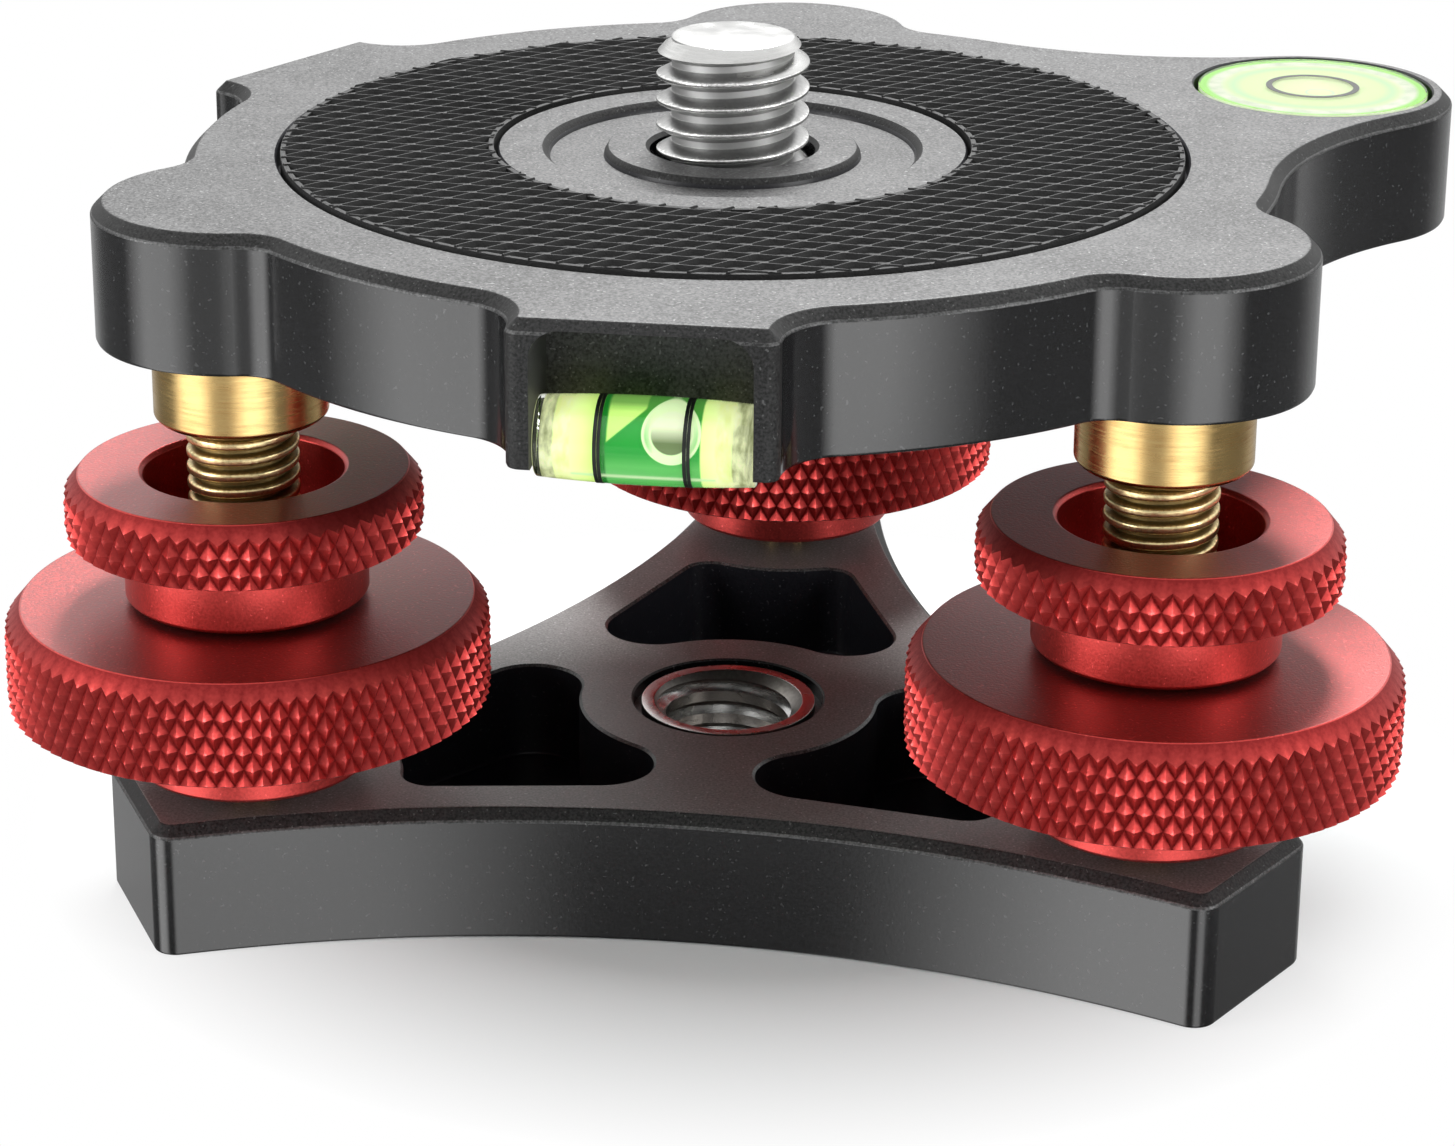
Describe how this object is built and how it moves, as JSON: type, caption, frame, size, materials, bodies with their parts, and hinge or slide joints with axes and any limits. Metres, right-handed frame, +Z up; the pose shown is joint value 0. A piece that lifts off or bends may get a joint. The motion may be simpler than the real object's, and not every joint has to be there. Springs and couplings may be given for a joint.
{
  "type": "tripod leveling head",
  "caption": "Compact tripod leveling head: lobed top plate with pad, mounting screw and spirit vials, carried on knurled height dials with lock rings over a hollow-sided base.",
  "frame": {"origin": "middle of the footprint at the underside of the base", "axes": "+Z up through the mounting screw, -Y towards the front vial, +X towards the bullseye vial"},
  "size_m": [0.0873, 0.0834, 0.0527],
  "materials": {
    "red_anodised": "red anodised over a fine blast, satin",
    "black_anodised": "black anodised, satin",
    "bright_brass": "turned, bright",
    "olive_brass": "dulled, greased thread",
    "bright_steel": "turned, bright",
    "spring_steel": "dark, satin",
    "black_rubber": "matt, with fine crossed ridges",
    "white_acetal": "satin",
    "clear_acrylic": "clear, polished",
    "vial_fluid": "clear yellow-green fluid"
  },
  "bodies": {
    "base": {"base_plate": "black_anodised", "tripod_bushing": "bright_steel", "ball_seat_left": "white_acetal", "socket_cap_left": "spring_steel", "socket_cap_right": "spring_steel", "socket_cap_back": "spring_steel"},
    "lean_right": {"ball_seat_right": "white_acetal"},
    "lean_back": {"ball_seat_back": "white_acetal"},
    "platform": {"top_plate": "black_anodised", "rubber_pad": "black_rubber", "screw_retaining_ring": "spring_steel", "bullseye_lens": "clear_acrylic", "bullseye_fluid": "vial_fluid", "bullseye_backing": "white_acetal", "front_vial_tube": "clear_acrylic", "front_vial_plug": "clear_acrylic", "front_vial_fluid": "vial_fluid", "side_vial_tube": "clear_acrylic", "side_vial_plug": "clear_acrylic", "side_vial_fluid": "vial_fluid", "leveling_stud_left": "olive_brass", "stud_boss_left": "bright_brass", "leveling_stud_right": "olive_brass", "stud_boss_right": "bright_brass", "leveling_stud_back": "olive_brass", "stud_boss_back": "bright_brass"},
    "screw": {"mounting_screw": "bright_steel"},
    "leg_left": {"pivot_pin_left": "bright_brass", "pin_clip_left": "spring_steel"},
    "dial_left": {"height_dial_left": "red_anodised"},
    "ring_left": {"lock_ring_left": "red_anodised"},
    "leg_right": {"pivot_pin_right": "bright_brass", "pin_clip_right": "spring_steel"},
    "dial_right": {"height_dial_right": "red_anodised"},
    "ring_right": {"lock_ring_right": "red_anodised"},
    "leg_back": {"pivot_pin_back": "bright_brass", "pin_clip_back": "spring_steel"},
    "dial_back": {"height_dial_back": "red_anodised"},
    "ring_back": {"lock_ring_back": "red_anodised"}
  },
  "joints": [
    {"name": "lean_left", "type": "hinge", "parent": "base", "child": "lean_right", "pos_m": [0.01243, 0.00312, 0.0049], "axis": [0.5, -0.866, 0], "range_deg": [-3.6, 3.6]},
    {"name": "lean_right", "type": "hinge", "parent": "lean_right", "child": "lean_back", "pos_m": [-0.01511, 0.00312, 0.0049], "axis": [0.5, 0.866, 0], "range_deg": [-3.6, 3.6]},
    {"name": "lean_back", "type": "hinge", "parent": "lean_back", "child": "platform", "pos_m": [-0.00134, -0.02073, 0.0049], "axis": [-1, 0, 0], "range_deg": [-3.6, 3.6]},
    {"name": "leg_left_slide", "type": "slide", "parent": "platform", "child": "leg_left", "axis": [0, 0, 1], "range_m": [-0.003, 0.003]},
    {"name": "dial_left_turn", "type": "hinge", "parent": "leg_left", "child": "dial_left", "pos_m": [-0.02888, -0.02073, 0.017], "axis": [0, 0, 1], "range_deg": [-1080, 1080]},
    {"name": "ring_left_turn", "type": "hinge", "parent": "dial_left", "child": "ring_left", "pos_m": [-0.02888, -0.02073, 0.025], "axis": [0, 0, 1], "range_deg": [0, 90]},
    {"name": "leg_right_slide", "type": "slide", "parent": "platform", "child": "leg_right", "axis": [0, 0, 1], "range_m": [-0.003, 0.003]},
    {"name": "dial_right_turn", "type": "hinge", "parent": "leg_right", "child": "dial_right", "pos_m": [0.0262, -0.02073, 0.017], "axis": [0, 0, 1], "range_deg": [-1080, 1080]},
    {"name": "ring_right_turn", "type": "hinge", "parent": "dial_right", "child": "ring_right", "pos_m": [0.0262, -0.02073, 0.025], "axis": [0, 0, 1], "range_deg": [0, 90]},
    {"name": "leg_back_slide", "type": "slide", "parent": "platform", "child": "leg_back", "axis": [0, 0, 1], "range_m": [-0.003, 0.003]},
    {"name": "dial_back_turn", "type": "hinge", "parent": "leg_back", "child": "dial_back", "pos_m": [-0.00134, 0.02696, 0.017], "axis": [0, 0, 1], "range_deg": [-1080, 1080]},
    {"name": "ring_back_turn", "type": "hinge", "parent": "dial_back", "child": "ring_back", "pos_m": [-0.00134, 0.02696, 0.025], "axis": [0, 0, 1], "range_deg": [0, 90]},
    {"name": "screw_turn", "type": "hinge", "parent": "platform", "child": "screw", "pos_m": [-0.00134, -0.00483, 0.045], "axis": [0, 0, 1], "continuous": true}
  ],
  "couplings": [
    {"joint": "leg_left_slide", "follows": "dial_left_turn", "m_per_rad": 0.00015915},
    {"joint": "lean_left", "follows": "dial_left_turn", "ratio": 0.0033366},
    {"joint": "leg_right_slide", "follows": "dial_right_turn", "m_per_rad": 0.00015915},
    {"joint": "lean_right", "follows": "dial_right_turn", "ratio": 0.0033366},
    {"joint": "leg_back_slide", "follows": "dial_back_turn", "m_per_rad": 0.00015915},
    {"joint": "lean_back", "follows": "dial_back_turn", "ratio": 0.0033366}
  ]
}
